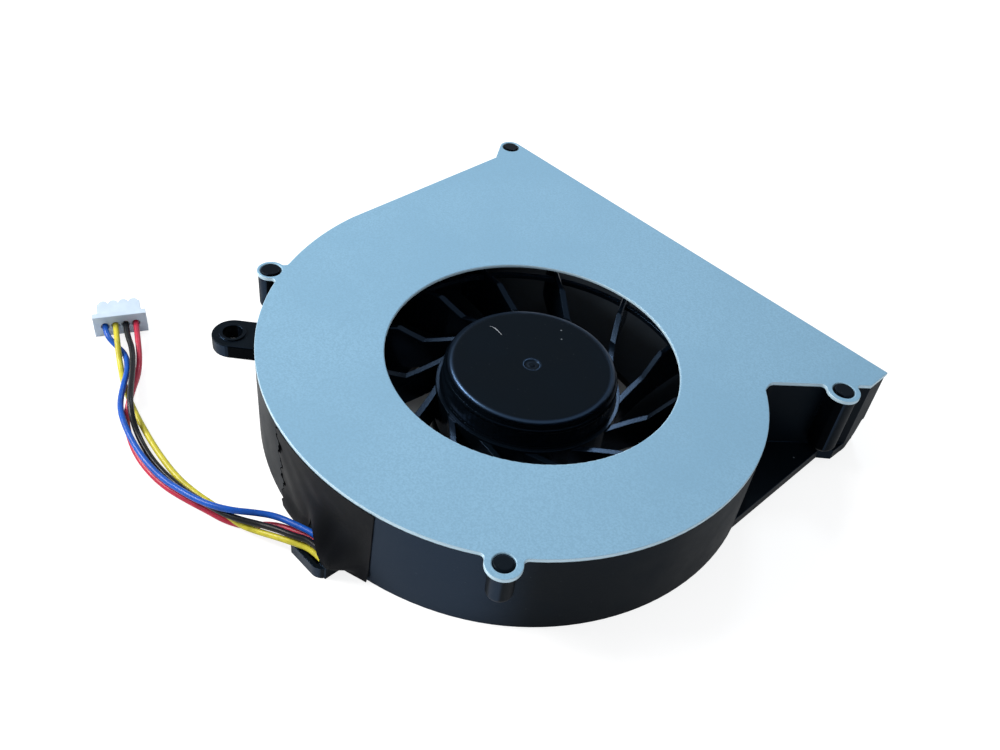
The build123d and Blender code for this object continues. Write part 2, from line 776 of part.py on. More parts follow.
# Wires from the block in the trough to the plug, lying on the floor and on each other
wire_routes = {
    "blue_wire": [
        (2.7, -31.5, 2.95), (0.6, -31.5, 2.95), (-2.3, -32.3, 2.6), (-4.9, -33.1, 2.2),
        (-6.6, -34.6, 2.3), (-7.9, -36.4, 2.75), (-9.8, -37.6, 2.6), (-12.0, -38.4, 2.25),
        (-14.4, -38.9, 1.9), (-17.4, -39.3, 1.2), (-20.7, -39.5, 1.2), (-24.4, -39.2, 1.3),
        (-28.1, -38.4, 1.25), (-30.9, -37.4, 1.15), (-33.3, -35.7, 1.3), (-36.2, -33.5, 0.9),
        (-39.3, -32.1, 0.45), (-41.4, -32.4, 0.8), (-43.14, -32.64, 1.5), (-44.91, -31.82, 1.5),
    ],
    "red_wire": [
        (2.7, -31.4, 2.0), (0.5, -31.4, 2.0), (-2.2, -32.4, 1.6), (-4.3, -33.0, 1.0),
        (-5.9, -34.0, 0.5), (-6.9, -35.6, 0.38), (-9.0, -36.9, 0.38), (-11.6, -37.7, 0.38),
        (-14.5, -38.7, 0.38), (-17.5, -39.5, 0.38), (-21.1, -39.7, 0.38), (-24.4, -39.3, 0.38),
        (-27.4, -38.4, 0.38), (-29.7, -37.3, 0.5), (-30.7, -36.3, 1.25), (-32.5, -34.8, 1.2),
        (-35.2, -32.7, 0.5), (-37.5, -31.2, 0.9), (-41.2, -29.41, 1.5), (-43.33, -28.42, 1.5),
    ],
    "black_wire": [
        (2.7, -32.4, 2.85), (0.6, -32.4, 2.85), (-1.1, -33.4, 2.75), (-3.1, -34.1, 2.45),
        (-5.1, -35.0, 2.05), (-6.6, -36.0, 2.0), (-8.3, -36.9, 1.95), (-10.4, -37.4, 1.6),
        (-12.7, -37.9, 1.3), (-15.2, -38.3, 0.9), (-18.6, -38.5, 0.38), (-22.2, -38.5, 0.38),
        (-26.0, -37.9, 0.6), (-28.5, -37.2, 2.1), (-31.4, -35.6, 2.2), (-35.2, -33.3, 1.5),
        (-38.7, -31.4, 1.5), (-41.72, -30.55, 1.5), (-43.85, -29.56, 1.5),
    ],
    "yellow_wire": [
        (2.7, -32.6, 1.95), (0.9, -32.6, 1.95), (-1.0, -33.7, 2.05), (-3.0, -34.5, 1.65),
        (-5.1, -35.4, 1.2), (-6.9, -36.3, 1.2), (-9.2, -36.6, 1.15), (-12.0, -36.8, 0.4),
        (-14.2, -37.3, 0.38), (-17.4, -37.7, 0.38), (-21.6, -37.5, 0.38), (-26.0, -36.9, 0.38),
        (-30.4, -36.1, 0.38), (-34.5, -35.0, 0.38), (-37.8, -33.7, 0.38), (-39.6, -32.9, 1.1),
        (-40.8, -32.3, 1.75), (-42.61, -31.51, 1.5), (-44.38, -30.69, 1.5),
    ],
}


def bend_radii(points):
    """The largest arc at each corner that leaves both of its runs a tenth straight."""
    radii = []
    for before, corner, after in zip(points, points[1:], points[2:]):
        into = Vector(*corner) - Vector(*before)
        out = Vector(*after) - Vector(*corner)
        half_turn = radians(into.get_angle(out) / 2)
        radii.append(bend_share * min(into.length, out.length) / tan(half_turn))
    return radii


wires = []
for name, points in wire_routes.items():
    radii = bend_radii(points)
    with BuildPart() as wire:
        with BuildLine():
            path = FilletPolyline(*points, radius=radii)
        with BuildSketch(Plane(points[0], z_dir=path % 0)):
            Circle(wire_diameter / 2)
        sweep(path=path)
    wire.part.label = name
    wires.append(wire)
    tube_volume = pi * wire_diameter ** 2 / 4 * path.length
    print(name, "length", round(path.length, 1), "radii", [round(radius, 1) for radius in radii])
    print("volume over section times length", round(wire.part.volume / tube_volume, 4))

pieces = [
    housing_base, top_cover, impeller, rotor_cup, ring_magnet, rotor_shaft, bearing_holder,
    thrust_pad, retaining_ring, bearing_sleeve, oil_washer, stator_core, upper_insulator,
    lower_insulator, stator_windings, circuit_board, driver_chip, board_capacitors,
    wire_tape, *wires, plug_housing, plug_terminals,
]
os.makedirs("parts", exist_ok=True)
for piece in pieces:
    export_step(piece.part, f"parts/{piece.part.label}.step")
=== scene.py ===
import math

import bpy
import numpy as np
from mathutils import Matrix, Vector


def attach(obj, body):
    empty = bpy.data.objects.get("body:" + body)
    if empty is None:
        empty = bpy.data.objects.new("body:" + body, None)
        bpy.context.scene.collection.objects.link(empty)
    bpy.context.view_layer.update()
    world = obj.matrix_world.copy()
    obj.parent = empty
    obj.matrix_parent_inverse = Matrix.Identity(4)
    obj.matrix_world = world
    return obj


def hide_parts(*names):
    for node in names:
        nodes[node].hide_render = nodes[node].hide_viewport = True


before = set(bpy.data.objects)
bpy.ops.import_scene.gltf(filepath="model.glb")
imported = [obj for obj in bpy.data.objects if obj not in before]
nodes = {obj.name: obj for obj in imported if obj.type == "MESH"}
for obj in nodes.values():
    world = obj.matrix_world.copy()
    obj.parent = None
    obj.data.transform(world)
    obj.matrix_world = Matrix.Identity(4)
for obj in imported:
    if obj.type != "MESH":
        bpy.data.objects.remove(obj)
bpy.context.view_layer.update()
mm = 0.001
black = (0.0, 0.0, 0.0)


# Camera

view = {
    "place": (56.0 * mm, -69.85 * mm, 88.41 * mm),
    "turn": (47.559, -5.970, 46.433),     # degrees about X, Y and Z
    "lens": 36.0,
    "sensor": 36.0,
    "clip": (0.005, 20.0),
}


def placeCamera():
    cameraData = bpy.data.cameras.new("photoCamera")
    cameraData.lens = view["lens"]
    cameraData.sensor_width = view["sensor"]
    cameraData.clip_start, cameraData.clip_end = view["clip"]
    camera = bpy.data.objects.new("photoCamera", cameraData)
    camera.location = view["place"]
    camera.rotation_euler = [math.radians(angle) for angle in view["turn"]]
    bpy.context.scene.collection.objects.link(camera)
    bpy.context.scene.camera = camera


placeCamera()
bpy.context.scene.view_settings.view_transform = "Standard"
print("camera placed")


# Shader maths on sockets

class Wire:
    # A socket with the sums that the materials need
    def __init__(self, graph, socket):
        self.graph = graph
        self.socket = socket

    def combine(self, operation, other, swapped=False):
        first, second = (other, self) if swapped else (self, other)
        return self.graph.add("ShaderNodeMath", {"operation": operation}, {0: first, 1: second})

    def __add__(self, other):
        return self.combine("ADD", other)

    def __radd__(self, other):
        return self.combine("ADD", other, swapped=True)

    def __sub__(self, other):
        return self.combine("SUBTRACT", other)

    def __rsub__(self, other):
        return self.combine("SUBTRACT", other, swapped=True)

    def __mul__(self, other):
        return self.combine("MULTIPLY", other)

    def __rmul__(self, other):
        return self.combine("MULTIPLY", other, swapped=True)

    def __lt__(self, other):
        return self.combine("LESS_THAN", other)

    def greater(self, other):
        return self.combine("MAXIMUM", other)

    def sine(self):
        return self.graph.add("ShaderNodeMath", {"operation": "SINE"}, {0: self})

    def clamp(self):
        return self.graph.add("ShaderNodeClamp", {}, {"Value": self})

    def ramp(self, low, high, start=0.0, end=1.0):
        # From start at low to end at high, eased at both ends
        settings = {"interpolation_type": "SMOOTHSTEP"}
        inputs = {"Value": self, "From Min": low, "From Max": high, "To Min": start, "To Max": end}
        return self.graph.add("ShaderNodeMapRange", settings, inputs)

    def fade(self, low, high):
        # From 1 at low to 0 at high
        return self.ramp(low, high, 1.0, 0.0)


class Graph:
    # The node tree of one material
    def __init__(self, name):
        self.material = bpy.data.materials.new(name)
        self.material.use_nodes = True
        self.tree = self.material.node_tree
        self.shader = self.tree.nodes["Principled BSDF"]
        self.output = self.tree.nodes["Material Output"]
        self.place = Wire(self, self.tree.nodes.new("ShaderNodeTexCoord").outputs["Object"])

    def put(self, socket, value):
        if isinstance(value, Wire):
            self.tree.links.new(value.socket, socket)
        elif isinstance(value, (int, float)):
            socket.default_value = value
        else:
            missing = len(socket.default_value) - len(value)      # a colour's alpha
            socket.default_value = (*value, *[1.0] * missing)

    def fill(self, shader, inputs):
        for name, value in inputs.items():
            self.put(shader.inputs[name.replace("_", " ")], value)

    def add(self, kind, settings, inputs, output=0):
        node = self.tree.nodes.new(kind)
        for name, value in settings.items():
            setattr(node, name, value)
        for name, value in inputs.items():
            self.put(node.inputs[name], value)
        return Wire(self, node.outputs[output])

    def noise(self, scale, detail=3.0, roughness=0.55, vector=None):
        inputs = {"Vector": vector or self.place, "Scale": scale, "Detail": detail, "Roughness": roughness}
        return self.add("ShaderNodeTexNoise", {}, inputs)

    def stretched(self, factors):
        # The place, scaled along each axis
        return self.add("ShaderNodeVectorMath", {"operation": "MULTIPLY"}, {0: self.place, 1: factors})

    def measure(self, operation, first, second=black):
        # One number from one or two vectors: LENGTH, DISTANCE or DOT_PRODUCT
        inputs = {0: first, 1: second}
        return self.add("ShaderNodeVectorMath", {"operation": operation}, inputs, "Value")

    def fromAxis(self):
        return self.measure("LENGTH", self.stretched((1.0, 1.0, 0.0)))

    def height(self, vector=None):
        return self.add("ShaderNodeSeparateXYZ", {}, {0: vector or self.place}, "Z")

    def geometry(self, name):
        return self.add("ShaderNodeNewGeometry", {}, {}, name)

    def rounded(self, radius, samples=4):
        # The normal with every edge rounded off
        return self.add("ShaderNodeBevel", {"samples": samples}, {"Radius": radius})

    def mixColor(self, share, first, second):
        settings = {"data_type": "RGBA"}
        return self.add("ShaderNodeMix", settings, {0: share, 6: first, 7: second}, output=2)

    def bump(self, height, distance, strength=1.0, under=None):
        inputs = {"Height": height, "Distance": distance, "Strength": strength}
        if under is not None:
            inputs["Normal"] = under
        return self.add("ShaderNodeBump", {}, inputs)

    def overlay(self, share, **inputs):
        # A second shader, shown by the given share
        second = self.tree.nodes.new("ShaderNodeBsdfPrincipled")
        self.fill(second, inputs)
        mix = self.add("ShaderNodeMixShader", {}, {0: share}).socket
        self.tree.links.new(self.shader.outputs[0], mix.node.inputs[1])
        self.tree.links.new(second.outputs[0], mix.node.inputs[2])
        self.tree.links.new(mix, self.output.inputs["Surface"])

    def finish(self, **inputs):
        self.fill(self.shader, inputs)
        return self.material


def darker(color, share):
    return [share * part for part in color]


# Floor and light

stageLook = {
    "floorColor": (0.80, 0.80, 0.80),
    "shownColor": (0.45, 0.45, 0.45),     # the floor as the camera sees it, with a glow added
    "shownGlow": (0.80, 0.80, 0.80),
    "roughness": 0.9,
    "glowStart": (0.020, 0.027),          # no glow on the floor under the fan
    "seenBy": ("Is Camera Ray", "Is Glossy Ray", "Is Transmission Ray"),
    "mirrorShare": 0.28,                  # how much of the glow a gloss shows
    "earPlace": (-0.0351, -0.0193, 0.0),
    "earShade": (0.0012, 0.0018),         # no glow under the ear's hole
    "floorSize": 3.0,
    "worldColor": (0.93, 0.965, 1.0),
    "worldStrength": 0.45,
    "backdrop": (1.0, 1.0, 1.0),          # behind the floor's end
    "lamps": {                            # place in metres, side, watts, tint
        "leftSoftbox": ((-0.22, -0.17, 0.20), 0.15, 1.12, (1.0, 0.985, 0.965)),
        "backWindow": ((-0.200, 0.270, 0.340), 0.09, 0.36, (0.80, 0.90, 1.0)),
    },
}


def floorFinish(name):
    # White where it is seen, plainly lit where it lights the fan, and clear from below
    graph = Graph(name)
    camera, gloss, glass = [graph.add("ShaderNodeLightPath", {}, {}, ray) for ray in stageLook["seenBy"]]
    seen = camera.greater(gloss.greater(glass) * stageLook["mirrorShare"])
    outside = graph.measure("LENGTH", graph.place).ramp(*stageLook["glowStart"])
    besideEar = graph.measure("DISTANCE", graph.place, stageLook["earPlace"]).ramp(*stageLook["earShade"])
    return graph.finish(
        Base_Color=graph.mixColor(seen, stageLook["floorColor"], stageLook["shownColor"]),
        Emission_Color=graph.mixColor(seen * outside * besideEar, black, stageLook["shownGlow"]),
        Emission_Strength=1.0,
        Roughness=stageLook["roughness"],
        Specular_IOR_Level=0.0,
        Alpha=1.0 - graph.geometry("Backfacing"),
    )


def makeFloor():
    half = stageLook["floorSize"] / 2
    corners = [(-half, -half, 0), (half, -half, 0), (half, half, 0), (-half, half, 0)]
    mesh = bpy.data.meshes.new("floor")
    mesh.from_pydata(corners, [], [(0, 1, 2, 3)])
    mesh.materials.append(floorFinish("paleFloor"))
    floor = bpy.data.objects.new("floor", mesh)
    bpy.context.scene.collection.objects.link(floor)


def lightRoom():
    world = bpy.data.worlds.new("room")
    bpy.context.scene.world = world
    world.use_nodes = True
    tree = world.node_tree
    light = tree.nodes["Background"]
    light.inputs["Color"].default_value = (*stageLook["worldColor"], 1.0)
    light.inputs["Strength"].default_value = stageLook["worldStrength"]
    backdrop = tree.nodes.new("ShaderNodeBackground")
    backdrop.inputs["Color"].default_value = (*stageLook["backdrop"], 1.0)
    rays = tree.nodes.new("ShaderNodeLightPath")
    mix = tree.nodes.new("ShaderNodeMixShader")
    tree.links.new(rays.outputs["Is Camera Ray"], mix.inputs[0])
    tree.links.new(light.outputs[0], mix.inputs[1])
    tree.links.new(backdrop.outputs[0], mix.inputs[2])
    tree.links.new(mix.outputs[0], tree.nodes["World Output"].inputs["Surface"])


def hangLamp(name, place, side, watts, tint):
    # A square lamp that faces the fan
    data = bpy.data.lights.new(name, "AREA")
    data.shape = "SQUARE"
    data.size = side
    data.energy = watts
    data.color = tint
    lamp = bpy.data.objects.new(name, data)
    lamp.location = place
    lamp.rotation_euler = (-Vector(place)).to_track_quat("-Z", "Y").to_euler()
    bpy.context.scene.collection.objects.link(lamp)


makeFloor()
lightRoom()
for lampName, lampSettings in stageLook["lamps"].items():
    hangLamp(lampName, *lampSettings)
print("floor and light made")


# Wires

wireLook = {
    "diameter": 0.72 * mm,
    "routes": {
        "blue": [
            (2.7, -31.5, 2.95), (0.6, -31.5, 2.95), (-2.3, -32.3, 2.6), (-4.9, -33.1, 2.2),
            (-6.6, -34.6, 2.3), (-7.9, -36.4, 2.75), (-9.8, -37.6, 2.6), (-12.0, -38.4, 2.25),
            (-14.4, -38.9, 1.9), (-17.4, -39.3, 1.2), (-20.7, -39.5, 1.2), (-24.4, -39.2, 1.3),
            (-28.1, -38.4, 1.25), (-30.9, -37.4, 1.15), (-33.3, -35.7, 1.3), (-36.2, -33.5, 0.9),
            (-39.3, -32.1, 0.45), (-41.4, -32.4, 0.8), (-43.14, -32.64, 1.5), (-44.91, -31.82, 1.5),
        ],
        "red": [
            (2.7, -31.4, 2.0), (0.5, -31.4, 2.0), (-2.2, -32.4, 1.6), (-4.3, -33.0, 1.0),
            (-5.9, -34.0, 0.5), (-6.9, -35.6, 0.38), (-9.0, -36.9, 0.38), (-11.6, -37.7, 0.38),
            (-14.5, -38.7, 0.38), (-17.5, -39.5, 0.38), (-21.1, -39.7, 0.38), (-24.4, -39.3, 0.38),
            (-27.4, -38.4, 0.38), (-29.7, -37.3, 0.5), (-30.7, -36.3, 1.25), (-32.5, -34.8, 1.2),
            (-35.2, -32.7, 0.5), (-37.5, -31.2, 0.9), (-41.2, -29.41, 1.5), (-43.33, -28.42, 1.5),
        ],
        "black": [
            (2.7, -32.4, 2.85), (0.6, -32.4, 2.85), (-1.1, -33.4, 2.75), (-3.1, -34.1, 2.45),
            (-5.1, -35.0, 2.05), (-6.6, -36.0, 2.0), (-8.3, -36.9, 1.95), (-10.4, -37.4, 1.6),
            (-12.7, -37.9, 1.3), (-15.2, -38.3, 0.9), (-18.6, -38.5, 0.38), (-22.2, -38.5, 0.38),
            (-26.0, -37.9, 0.6), (-28.5, -37.2, 2.1), (-31.4, -35.6, 2.2), (-35.2, -33.3, 1.5),
            (-38.7, -31.4, 1.5), (-41.72, -30.55, 1.5), (-43.85, -29.56, 1.5),
        ],
        "yellow": [
            (2.7, -32.6, 1.95), (0.9, -32.6, 1.95), (-1.0, -33.7, 2.05), (-3.0, -34.5, 1.65),
            (-5.1, -35.4, 1.2), (-6.9, -36.3, 1.2), (-9.2, -36.6, 1.15), (-12.0, -36.8, 0.4),
            (-14.2, -37.3, 0.38), (-17.4, -37.7, 0.38), (-21.6, -37.5, 0.38), (-26.0, -36.9, 0.38),
            (-30.4, -36.1, 0.38), (-34.5, -35.0, 0.38), (-37.8, -33.7, 0.38), (-39.6, -32.9, 1.1),
            (-40.8, -32.3, 1.75), (-42.61, -31.51, 1.5), (-44.38, -30.69, 1.5),
        ],
    },
    "colors": {
        "blue": (0.008, 0.100, 0.520),
        "red": (0.600, 0.032, 0.075),
        "black": (0.007, 0.008, 0.011),
        "yellow": (0.680, 0.600, 0.050),
    },
    "lengths": {"blue": 0.0521, "red": 0.0517, "black": 0.0502, "yellow": 0.0495},
    "handled": 0.78,                      # how dark the handled stretches get
    "roughness": (0.24, 0.38),
    "specular": 0.28,
}


def insulation(name, color):
    # Soft plastic: cloudy from handling, with a fine skin
    graph = Graph(name + "Insulation")
    handling = graph.noise(900.0, 4.0)
    return graph.finish(
        Base_Color=graph.mixColor(handling.ramp(0.35, 0.7), color, darker(color, wireLook["handled"])),
        Roughness=handling.ramp(0.3, 0.7, *wireLook["roughness"]),
        Normal=graph.bump(graph.noise(2600.0, 2.0), 0.00001, 0.6),
        Specular_IOR_Level=wireLook["specular"],
    )


def makeWire(name):
    # A round section carried along a smooth curve through the route's points
    points = np.array(wireLook["routes"][name]) * mm
    curve = bpy.data.curves.new(name + "Wire", "CURVE")
    curve.dimensions = "3D"
    spline = curve.splines.new("NURBS")
    spline.points.add(len(points) - 1)
    spline.points.foreach_set("co", np.column_stack([points, np.ones(len(points))]).ravel())
    spline.order_u = 3
    spline.use_endpoint_u = True
    spline.resolution_u = 12
    curve.bevel_depth = wireLook["diameter"] / 2
    curve.bevel_resolution = 6
    curve.use_fill_caps = True
    curve.materials.append(insulation(name, wireLook["colors"][name]))
    wire = bpy.data.objects.new(name + "Wire", curve)
    bpy.context.scene.collection.objects.link(wire)
    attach(wire, "housing")
    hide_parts(name + "_wire")


for wireName in wireLook["routes"]:
    makeWire(wireName)
print("wires laid")


# Finishes of the carried-over pieces

def dress(name, material):
    piece = nodes[name]
    if not piece.material_slots:
        piece.data.materials.append(material)
    for slot in piece.material_slots:
        slot.material = material


def spots(graph, places, radius):
    # 1 inside small balls round the given places, 0 outside
    total = 0.0
    for place in places:
        distance = graph.measure("DISTANCE", graph.place, place)
        total = distance.fade(0.6 * radius, radius) + total
    return total.clamp()


# Black plastic of the housing and the rotor

blackPlastic = {
    "color": (0.0018, 0.0038, 0.0066),
    "worn": (0.0030, 0.0058, 0.0098),
    "specular": 0.08,
    "tint": (0.60, 0.80, 1.0),
    "skin": (0.05, 0.09, 0.16),           # the moulding's gloss, bluish as in the photo
    # painted shade: inner, here and among the shares, is the near-black laid over the inside walls that
    # face the axis
    "inner": (0.0010, 0.0015, 0.0022),
    "shares": {"edge": 0.40, "front": 0.30, "blade": 0.16, "rim": 0.85, "inner": 0.85},
    # painted sheen: the direction below is where the walls get more bluish gloss
    "front": (0.31, -0.95, 0.0),          # the way that the bluish part of the wall faces
    "edgeRadius": 0.12 * mm,
    "grain": 0.000010,
    "fleckShare": 0.12,
    "dust": (0.16, 0.18, 0.20),
    "dustSize": 0.13 * mm,
}

housingLook = {
    "sheen": 0.46,
    "texture": 0.7,
    "dust": [
        (0.0215, 0.0236, 0.00145), (0.0241, 0.0264, 0.00145), (0.0262, 0.0216, 0.00145),
        (-0.0145, -0.0282, 0.0070),
    ],
    "innerMatt": 0.45,
    "skinRoughness": 0.26,
}

rotorLook = {
    "sheen": 0.22,
    "texture": 0.6,
    "dust": [(-0.0022, 0.0074, 0.0099), (-0.0010, 0.0062, 0.0099)],
    "mattFrom": (9.62 * mm, 9.82 * mm),   # height where the matt top of the hub starts
    "topMatt": 0.50,
    "hubRadius": 10.8 * mm,
    "rimStart": 9.15 * mm,                # where the hub's top starts to round off, and how
    "rimRounding": 0.8 * mm,
    "lip": (0.75 * mm, 0.95 * mm, 1.20 * mm),   # radii of the raised ring round the gate's dimple
    "lipHeight": 0.10 * mm,
    "lipShare": 0.3,
    "skinRoughness": (0.22, 0.14),        # everywhere, and what the rim adds
}


def housingGloss(graph, edge):
    # Glossy on every edge, with a painted bluish sheen on the walls that face the front; the walls inside
    # that face the axis are made rough and overlaid with near-black, a painted shade
    shares = blackPlastic["shares"]
    flat = graph.geometry("True Normal")
    inwardMattAndShade = graph.measure("DOT_PRODUCT", graph.stretched((1.0, 1.0, 0.0)), flat).fade(-0.004, 0.0)
    rim = graph.measure("DOT_PRODUCT", edge, flat).fade(0.80, 0.985)
    # painted sheen: more bluish gloss where the wall faces the front
    front = graph.measure("DOT_PRODUCT", blackPlastic["front"], graph.geometry("Normal")).ramp(0.84, 0.97)
    share = (shares["edge"] * rim).greater(shares["inner"] * inwardMattAndShade).greater(shares["front"] * front)
    return {
        "share": share,
        "color": graph.mixColor(inwardMattAndShade, blackPlastic["skin"], blackPlastic["inner"]),
        "roughness": housingLook["skinRoughness"],
        "matt": housingLook["innerMatt"] * inwardMattAndShade,
        "height": 0.0,
    }


def rotorGloss(graph, edge):
    # Glossy blades and a glossy rounded rim; the hub's top was eroded deeper, so it is matt.
    # The rounding's height falls with the square of the way past its start.
    shares = blackPlastic["shares"]
    matt = graph.height().ramp(*rotorLook["mattFrom"])
    radius = graph.fromAxis()
    onHub = radius < rotorLook["hubRadius"]
    start = rotorLook["rimStart"]
    past = (radius - start).greater(0.0)
    rim = radius.ramp(start + 0.1 * mm, start + 0.6 * mm) * onHub * matt
    inner, crest, outer = rotorLook["lip"]
    lip = radius.ramp(inner, crest) * radius.fade(crest, outer)
    plain, added = rotorLook["skinRoughness"]
    return {
        "share": shares["blade"] * (1.0 - matt) + shares["rim"] * (rim + rotorLook["lipShare"] * lip),
        "color": blackPlastic["skin"],
        "roughness": plain + added * rim,
        "matt": rotorLook["topMatt"] * matt,
        "height": rotorLook["lipHeight"] * lip - past * past * onHub * (0.5 / rotorLook["rimRounding"]),
    }


def mouldedPlastic(name, look, glossOf):
    # Satin moulding: cloudy gloss, a fine eroded grain and a few specks of dust
    graph = Graph(name)
    cloud = graph.noise(140.0, 4.0)
    edge = graph.rounded(blackPlastic["edgeRadius"])
    gloss = glossOf(graph, edge)
    grain = graph.noise(5200.0, 2.0) + 0.6 * graph.noise(1500.0, 2.0)
    height = grain * (blackPlastic["grain"] * look["texture"]) + gloss["height"]
    normal = graph.bump(height, 1.0, 1.0, edge)
    color = graph.mixColor(cloud.ramp(0.3, 0.75), blackPlastic["color"], blackPlastic["worn"])
    flecks = graph.noise(3300.0, 1.0).ramp(0.76, 0.79) * blackPlastic["fleckShare"]
    dust = spots(graph, look["dust"], blackPlastic["dustSize"]) + flecks
    graph.overlay(
        gloss["share"].clamp(), Base_Color=gloss["color"], Metallic=1.0,
        Roughness=gloss["roughness"], Normal=normal,
    )
    return graph.finish(
        Base_Color=graph.mixColor(dust.clamp(), color, blackPlastic["dust"]),
        Roughness=cloud.ramp(0.25, 0.8, look["sheen"] - 0.06, look["sheen"] + 0.08) + gloss["matt"],
        Normal=normal,
        Specular_IOR_Level=blackPlastic["specular"],
        Specular_Tint=blackPlastic["tint"],
    )


# Painted cover

coverMetal = {
    "color": (0.235, 0.440, 0.610),
    "light": (0.265, 0.480, 0.655),
    # pale colour of the painted highlight on the rolled edges and the cut faces
    "edgeHighlight": (0.62, 0.84, 0.98),
    "sparkle": 0.915,                     # how dark the paint gets between its flakes
    "metallic": 0.15,
    "roughness": (0.56, 0.66),
    "edgeGloss": 0.25,
    "edgeRadius": 0.16 * mm,
    "grain": 0.0000035,
}


def paintedCover(name):
    # Satin metal paint: a fine sparkle and faint clouds; the rolled edges and the cut faces are painted
    # pale, a painted highlight
    graph = Graph(name)
    edge = graph.rounded(coverMetal["edgeRadius"], samples=6)
    flat = graph.geometry("True Normal")
    upright = graph.height(flat)
    rolled = graph.measure("DOT_PRODUCT", edge, flat).fade(0.80, 0.985)
    # painted highlight: the rolled edges and the upright cut faces take the pale edge colour
    rim = rolled.greater((upright * upright).fade(0.2, 0.6))
    cloud = graph.noise(55.0, 3.0).ramp(0.35, 0.65)
    grain = graph.noise(4200.0, 2.5, 0.7)
    color = graph.mixColor(cloud, coverMetal["color"], coverMetal["light"])
    dull = darker(coverMetal["color"], coverMetal["sparkle"])
    shade = graph.mixColor(grain.ramp(0.34, 0.66), dull, color)
    return graph.finish(
        Base_Color=graph.mixColor(rim, shade, coverMetal["edgeHighlight"]),
        Metallic=coverMetal["metallic"],
        Roughness=grain.ramp(0.3, 0.7, *coverMetal["roughness"]) - coverMetal["edgeGloss"] * rim,
        Normal=graph.bump(grain, coverMetal["grain"], 1.0, edge),
    )


# Inner pieces

innerMetals = {                           # colour, roughness and how the marks are stretched
    "rotor_cup": ((0.42, 0.43, 0.44), 0.36, (1.0, 1.0, 1.0)),
    "rotor_shaft": ((0.62, 0.63, 0.64), 0.16, (1.0, 1.0, 30.0)),
    "retaining_ring": ((0.55, 0.54, 0.52), 0.28, (1.0, 1.0, 1.0)),
    "bearing_holder": ((0.62, 0.46, 0.20), 0.30, (1.0, 1.0, 12.0)),
    "bearing_sleeve": ((0.44, 0.29, 0.15), 0.55, (1.0, 1.0, 1.0)),
    "plug_terminals": ((0.70, 0.71, 0.73), 0.24, (1.0, 1.0, 1.0)),
}


def turnedMetal(name, color, roughness, streaks):
    # Turned or drawn metal: fine rings or pores, darker where the tool marks are deep
    graph = Graph(name + "Metal")
    marks = graph.noise(1800.0, 3.0, 0.6, graph.stretched(streaks))
    return graph.finish(
        Base_Color=graph.mixColor(marks.ramp(0.3, 0.7), darker(color, 0.72), color),
        Metallic=1.0,
        Roughness=marks.ramp(0.3, 0.7, roughness - 0.06, roughness + 0.10),
        Normal=graph.bump(marks, 0.000004),
    )


innerSolids = {                           # colour and roughness
    "ring_magnet": ((0.050, 0.050, 0.054), 0.55),
    "thrust_pad": ((0.20, 0.15, 0.09), 0.40),
    "oil_washer": ((0.60, 0.56, 0.44), 0.45),
    "upper_insulator": ((0.62, 0.60, 0.52), 0.42),
    "lower_insulator": ((0.62, 0.60, 0.52), 0.42),
    "driver_chip": ((0.020, 0.020, 0.022), 0.50),
}


def mattSolid(name, color, roughness):
    # Pressed or moulded stock: small pores and a cloudy surface
    graph = Graph(name + "Stock")
    pores = graph.noise(2600.0, 3.0)
    return graph.finish(
        Base_Color=graph.mixColor(pores.ramp(0.25, 0.7), darker(color, 0.6), color),
        Roughness=pores.ramp(0.2, 0.8, roughness - 0.08, roughness + 0.12),
        Normal=graph.bump(pores, 0.000008),
    )


coreLook = {
    "gap": (0.08, 0.085, 0.09),
    "sheet": (0.34, 0.35, 0.37),
    "sheets": 460.0,
    "metallic": 0.8,
    "roughness": (0.55, 0.38),
}


def layeredCore(name):
    # Stamped sheets of silicon steel, stacked along Z
    graph = Graph(name)
    inputs = {"Vector": graph.place, "Scale": coreLook["sheets"]}
    wave = graph.add("ShaderNodeTexWave", {"bands_direction": "Z"}, inputs)
    return graph.finish(
        Base_Color=graph.mixColor(wave.ramp(0.3, 0.6), coreLook["gap"], coreLook["sheet"]),
        Metallic=coreLook["metallic"],
        Roughness=wave.ramp(0.2, 0.8, *coreLook["roughness"]),
        Normal=graph.bump(wave, 0.00003),
    )


copperLook = {
    "gap": (0.10, 0.025, 0.008),
    "turn": (0.46, 0.17, 0.05),
    "turns": 42000.0,
    "metallic": 0.7,
    "roughness": (0.45, 0.26),
}


def woundCopper(name):
    # Enamelled copper turns that run round each pole
    graph = Graph(name)
    turns = (graph.fromAxis() * copperLook["turns"]).sine()
    return graph.finish(
        Base_Color=graph.mixColor(turns.ramp(-0.9, 0.4), copperLook["gap"], copperLook["turn"]),
        Metallic=copperLook["metallic"],
        Roughness=turns.ramp(-1.0, 1.0, *copperLook["roughness"]),
        Normal=graph.bump(turns, 0.00004),
    )


boardLook = {
    "mask": ((0.010, 0.060, 0.022), (0.014, 0.085, 0.032)),
    "track": (0.050, 0.170, 0.060),
    "tracks": 5200.0,
    "roughness": (0.28, 0.40),
}


def printedBoard(name):
    # Green solder mask with rings of tinned copper under it
    graph = Graph(name)
    tracks = (graph.fromAxis() * boardLook["tracks"]).sine().ramp(0.55, 0.75)
    weave = graph.noise(1500.0, 2.0)
    color = graph.mixColor(weave.ramp(0.3, 0.7), *boardLook["mask"])
    return graph.finish(
        Base_Color=graph.mixColor(tracks, color, boardLook["track"]),
        Roughness=weave.ramp(0.3, 0.7, *boardLook["roughness"]),
        Normal=graph.bump(tracks, 0.00002),
    )


ceramicLook = {
    "body": ((0.24, 0.15, 0.08), (0.34, 0.22, 0.12)),
    "tin": (0.55, 0.55, 0.54),
    "metallic": 0.8,
    "roughness": (0.34, 0.48),
}


